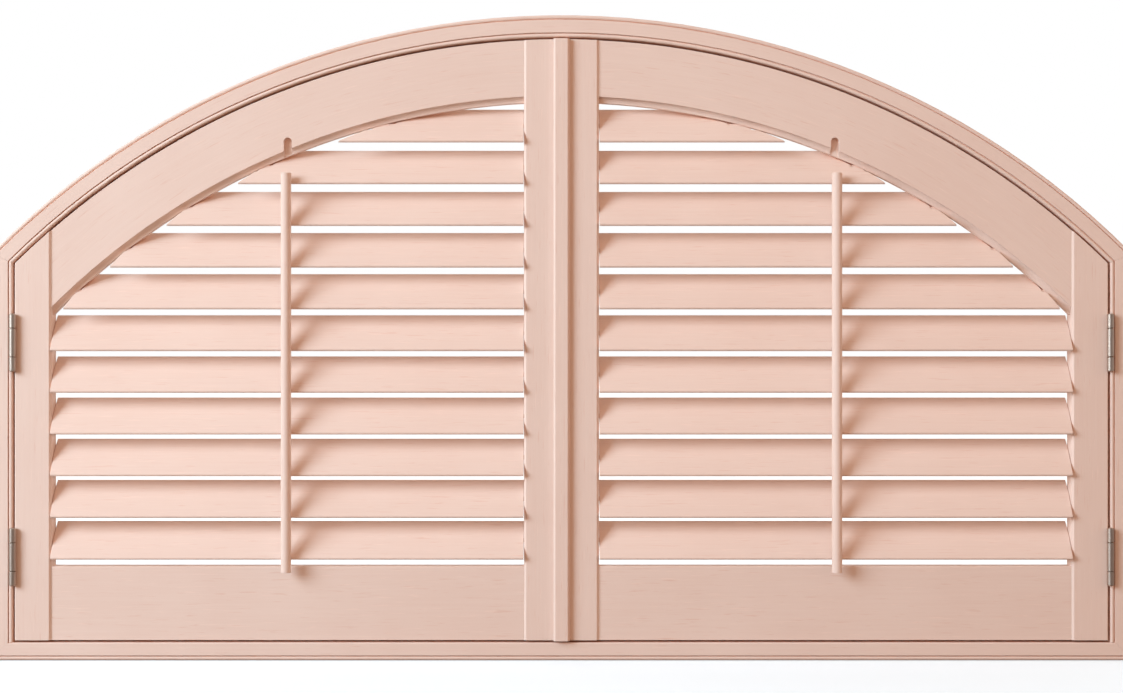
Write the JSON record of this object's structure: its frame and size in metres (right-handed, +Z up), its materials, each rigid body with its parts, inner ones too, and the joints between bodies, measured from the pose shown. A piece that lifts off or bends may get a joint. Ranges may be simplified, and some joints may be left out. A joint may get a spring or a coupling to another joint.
{
  "type": "arched shutter",
  "caption": "Arched wooden louvered shutter in its moulded frame: two hinged leaves that meet under an astragal, with tilting louvers moved by front tilt rods.",
  "frame": {"origin": "middle of the sill's underside, in the plane of the leaves' middle thickness", "axes": "+X to the right as seen from the room, +Y through the shutter to the window, +Z up"},
  "size_m": [1.568, 0.0689, 0.8858],
  "materials": {
    "painted_wood": "satin blush paint over fine grain",
    "hinge_metal": "satin nickel plate",
    "staple_wire": "bright steel wire",
    "strike_steel": "zinc plated",
    "magnet": "nickel plate",
    "dowel_wood": "bare beech"
  },
  "bodies": {
    "frame": {"frame_head": "painted_wood", "frame_jamb_left": "painted_wood", "frame_jamb_right": "painted_wood", "frame_sill": "painted_wood", "left_lower_hinge_frame_plate": "hinge_metal", "left_lower_hinge_pin": "hinge_metal", "left_upper_hinge_frame_plate": "hinge_metal", "left_upper_hinge_pin": "hinge_metal", "right_lower_hinge_frame_plate": "hinge_metal", "right_lower_hinge_pin": "hinge_metal", "right_upper_hinge_frame_plate": "hinge_metal", "right_upper_hinge_pin": "hinge_metal", "frame_hinge_screws": "hinge_metal", "catch_magnets": "magnet"},
    "left_leaf": {"left_hinge_stile": "painted_wood", "left_meeting_stile": "painted_wood", "left_arched_rail": "painted_wood", "left_bottom_rail": "painted_wood", "left_dowels": "dowel_wood", "left_lower_hinge_leaf_plate": "hinge_metal", "left_upper_hinge_leaf_plate": "hinge_metal", "left_leaf_hinge_screws": "hinge_metal", "left_strike_plate": "strike_steel"},
    "right_leaf": {"right_hinge_stile": "painted_wood", "right_meeting_stile": "painted_wood", "right_arched_rail": "painted_wood", "right_bottom_rail": "painted_wood", "right_dowels": "dowel_wood", "right_lower_hinge_leaf_plate": "hinge_metal", "right_upper_hinge_leaf_plate": "hinge_metal", "right_leaf_hinge_screws": "hinge_metal", "right_strike_plate": "strike_steel", "astragal": "painted_wood"},
    "left_louver_1": {"left_louver_1": "painted_wood"},
    "left_louver_2": {"left_louver_2": "painted_wood"},
    "left_louver_3": {"left_louver_3": "painted_wood"},
    "left_louver_4": {"left_louver_4": "painted_wood"},
    "left_louver_5": {"left_louver_5": "painted_wood"},
    "left_louver_6": {"left_louver_6": "painted_wood"},
    "left_louver_7": {"left_louver_7": "painted_wood"},
    "left_louver_8": {"left_louver_8": "painted_wood"},
    "left_louver_9": {"left_louver_9": "painted_wood"},
    "left_louver_10": {"left_louver_10": "painted_wood"},
    "left_louver_11": {"left_louver_11": "painted_wood"},
    "left_rod": {"left_tilt_rod": "painted_wood", "left_rod_staples": "staple_wire"},
    "right_louver_1": {"right_louver_1": "painted_wood"},
    "right_louver_2": {"right_louver_2": "painted_wood"},
    "right_louver_3": {"right_louver_3": "painted_wood"},
    "right_louver_4": {"right_louver_4": "painted_wood"},
    "right_louver_5": {"right_louver_5": "painted_wood"},
    "right_louver_6": {"right_louver_6": "painted_wood"},
    "right_louver_7": {"right_louver_7": "painted_wood"},
    "right_louver_8": {"right_louver_8": "painted_wood"},
    "right_louver_9": {"right_louver_9": "painted_wood"},
    "right_louver_10": {"right_louver_10": "painted_wood"},
    "right_louver_11": {"right_louver_11": "painted_wood"},
    "right_rod": {"right_tilt_rod": "painted_wood", "right_rod_staples": "staple_wire"}
  },
  "joints": [
    {"name": "right_leaf_swing", "type": "hinge", "parent": "frame", "child": "right_leaf", "pos_m": [0.752, -0.0192, 0], "axis": [0, 0, 1], "range_deg": [0, 170]},
    {"name": "left_leaf_swing", "type": "hinge", "parent": "frame", "child": "left_leaf", "pos_m": [-0.752, -0.0192, 0], "axis": [0, 0, 1], "range_deg": [-170, 0]},
    {"name": "left_louver_5_tilt", "type": "hinge", "parent": "left_leaf", "child": "left_louver_5", "pos_m": [-0.376, 0, 0.3921], "axis": [1, 0, 0], "range_deg": [-50, 0]},
    {"name": "left_louver_1_tilt", "type": "hinge", "parent": "left_leaf", "child": "left_louver_1", "pos_m": [-0.376, 0, 0.1635], "axis": [1, 0, 0], "range_deg": [-50, 0]},
    {"name": "left_louver_2_tilt", "type": "hinge", "parent": "left_leaf", "child": "left_louver_2", "pos_m": [-0.376, 0, 0.22065], "axis": [1, 0, 0], "range_deg": [-50, 0]},
    {"name": "left_louver_3_tilt", "type": "hinge", "parent": "left_leaf", "child": "left_louver_3", "pos_m": [-0.376, 0, 0.2778], "axis": [1, 0, 0], "range_deg": [-50, 0]},
    {"name": "left_louver_4_tilt", "type": "hinge", "parent": "left_leaf", "child": "left_louver_4", "pos_m": [-0.376, 0, 0.33495], "axis": [1, 0, 0], "range_deg": [-50, 0]},
    {"name": "left_louver_6_tilt", "type": "hinge", "parent": "left_leaf", "child": "left_louver_6", "pos_m": [-0.376, 0, 0.44925], "axis": [1, 0, 0], "range_deg": [-50, 0]},
    {"name": "left_louver_7_tilt", "type": "hinge", "parent": "left_leaf", "child": "left_louver_7", "pos_m": [-0.376, 0, 0.5064], "axis": [1, 0, 0], "range_deg": [-50, 0]},
    {"name": "left_louver_8_tilt", "type": "hinge", "parent": "left_leaf", "child": "left_louver_8", "pos_m": [-0.376, 0, 0.56355], "axis": [1, 0, 0], "range_deg": [-50, 0]},
    {"name": "left_louver_9_tilt", "type": "hinge", "parent": "left_leaf", "child": "left_louver_9", "pos_m": [-0.376, 0, 0.6207], "axis": [1, 0, 0], "range_deg": [-50, 0]},
    {"name": "left_louver_10_tilt", "type": "hinge", "parent": "left_leaf", "child": "left_louver_10", "pos_m": [-0.376, 0, 0.67785], "axis": [1, 0, 0], "range_deg": [-50, 0]},
    {"name": "left_louver_11_tilt", "type": "hinge", "parent": "left_leaf", "child": "left_louver_11", "pos_m": [-0.376, 0, 0.735], "axis": [1, 0, 0], "range_deg": [-50, 0]},
    {"name": "left_rod_link", "type": "hinge", "parent": "left_louver_5", "child": "left_rod", "pos_m": [-0.376, -0.02378, 0.36376], "axis": [1, 0, 0], "range_deg": [0, 50]},
    {"name": "right_louver_5_tilt", "type": "hinge", "parent": "right_leaf", "child": "right_louver_5", "pos_m": [0.376, 0, 0.3921], "axis": [1, 0, 0], "range_deg": [-50, 0]},
    {"name": "right_louver_1_tilt", "type": "hinge", "parent": "right_leaf", "child": "right_louver_1", "pos_m": [0.376, 0, 0.1635], "axis": [1, 0, 0], "range_deg": [-50, 0]},
    {"name": "right_louver_2_tilt", "type": "hinge", "parent": "right_leaf", "child": "right_louver_2", "pos_m": [0.376, 0, 0.22065], "axis": [1, 0, 0], "range_deg": [-50, 0]},
    {"name": "right_louver_3_tilt", "type": "hinge", "parent": "right_leaf", "child": "right_louver_3", "pos_m": [0.376, 0, 0.2778], "axis": [1, 0, 0], "range_deg": [-50, 0]},
    {"name": "right_louver_4_tilt", "type": "hinge", "parent": "right_leaf", "child": "right_louver_4", "pos_m": [0.376, 0, 0.33495], "axis": [1, 0, 0], "range_deg": [-50, 0]},
    {"name": "right_louver_6_tilt", "type": "hinge", "parent": "right_leaf", "child": "right_louver_6", "pos_m": [0.376, 0, 0.44925], "axis": [1, 0, 0], "range_deg": [-50, 0]},
    {"name": "right_louver_7_tilt", "type": "hinge", "parent": "right_leaf", "child": "right_louver_7", "pos_m": [0.376, 0, 0.5064], "axis": [1, 0, 0], "range_deg": [-50, 0]},
    {"name": "right_louver_8_tilt", "type": "hinge", "parent": "right_leaf", "child": "right_louver_8", "pos_m": [0.376, 0, 0.56355], "axis": [1, 0, 0], "range_deg": [-50, 0]},
    {"name": "right_louver_9_tilt", "type": "hinge", "parent": "right_leaf", "child": "right_louver_9", "pos_m": [0.376, 0, 0.6207], "axis": [1, 0, 0], "range_deg": [-50, 0]},
    {"name": "right_louver_10_tilt", "type": "hinge", "parent": "right_leaf", "child": "right_louver_10", "pos_m": [0.376, 0, 0.67785], "axis": [1, 0, 0], "range_deg": [-50, 0]},
    {"name": "right_louver_11_tilt", "type": "hinge", "parent": "right_leaf", "child": "right_louver_11", "pos_m": [0.376, 0, 0.735], "axis": [1, 0, 0], "range_deg": [-50, 0]},
    {"name": "right_rod_link", "type": "hinge", "parent": "right_louver_5", "child": "right_rod", "pos_m": [0.376, -0.02378, 0.36376], "axis": [1, 0, 0], "range_deg": [0, 50]}
  ],
  "couplings": [
    {"joint": "left_leaf_swing", "follows": "right_leaf_swing", "ratio": -1},
    {"joint": "left_louver_1_tilt", "follows": "left_louver_5_tilt", "ratio": 1},
    {"joint": "left_louver_2_tilt", "follows": "left_louver_5_tilt", "ratio": 1},
    {"joint": "left_louver_3_tilt", "follows": "left_louver_5_tilt", "ratio": 1},
    {"joint": "left_louver_4_tilt", "follows": "left_louver_5_tilt", "ratio": 1},
    {"joint": "left_louver_6_tilt", "follows": "left_louver_5_tilt", "ratio": 1},
    {"joint": "left_louver_7_tilt", "follows": "left_louver_5_tilt", "ratio": 1},
    {"joint": "left_louver_8_tilt", "follows": "left_louver_5_tilt", "ratio": 1},
    {"joint": "left_louver_9_tilt", "follows": "left_louver_5_tilt", "ratio": 1},
    {"joint": "left_louver_10_tilt", "follows": "left_louver_5_tilt", "ratio": 1},
    {"joint": "left_rod_link", "follows": "left_louver_5_tilt", "ratio": -1},
    {"joint": "right_louver_1_tilt", "follows": "right_louver_5_tilt", "ratio": 1},
    {"joint": "right_louver_2_tilt", "follows": "right_louver_5_tilt", "ratio": 1},
    {"joint": "right_louver_3_tilt", "follows": "right_louver_5_tilt", "ratio": 1},
    {"joint": "right_louver_4_tilt", "follows": "right_louver_5_tilt", "ratio": 1},
    {"joint": "right_louver_6_tilt", "follows": "right_louver_5_tilt", "ratio": 1},
    {"joint": "right_louver_7_tilt", "follows": "right_louver_5_tilt", "ratio": 1},
    {"joint": "right_louver_8_tilt", "follows": "right_louver_5_tilt", "ratio": 1},
    {"joint": "right_louver_9_tilt", "follows": "right_louver_5_tilt", "ratio": 1},
    {"joint": "right_louver_10_tilt", "follows": "right_louver_5_tilt", "ratio": 1},
    {"joint": "right_rod_link", "follows": "right_louver_5_tilt", "ratio": -1}
  ]
}
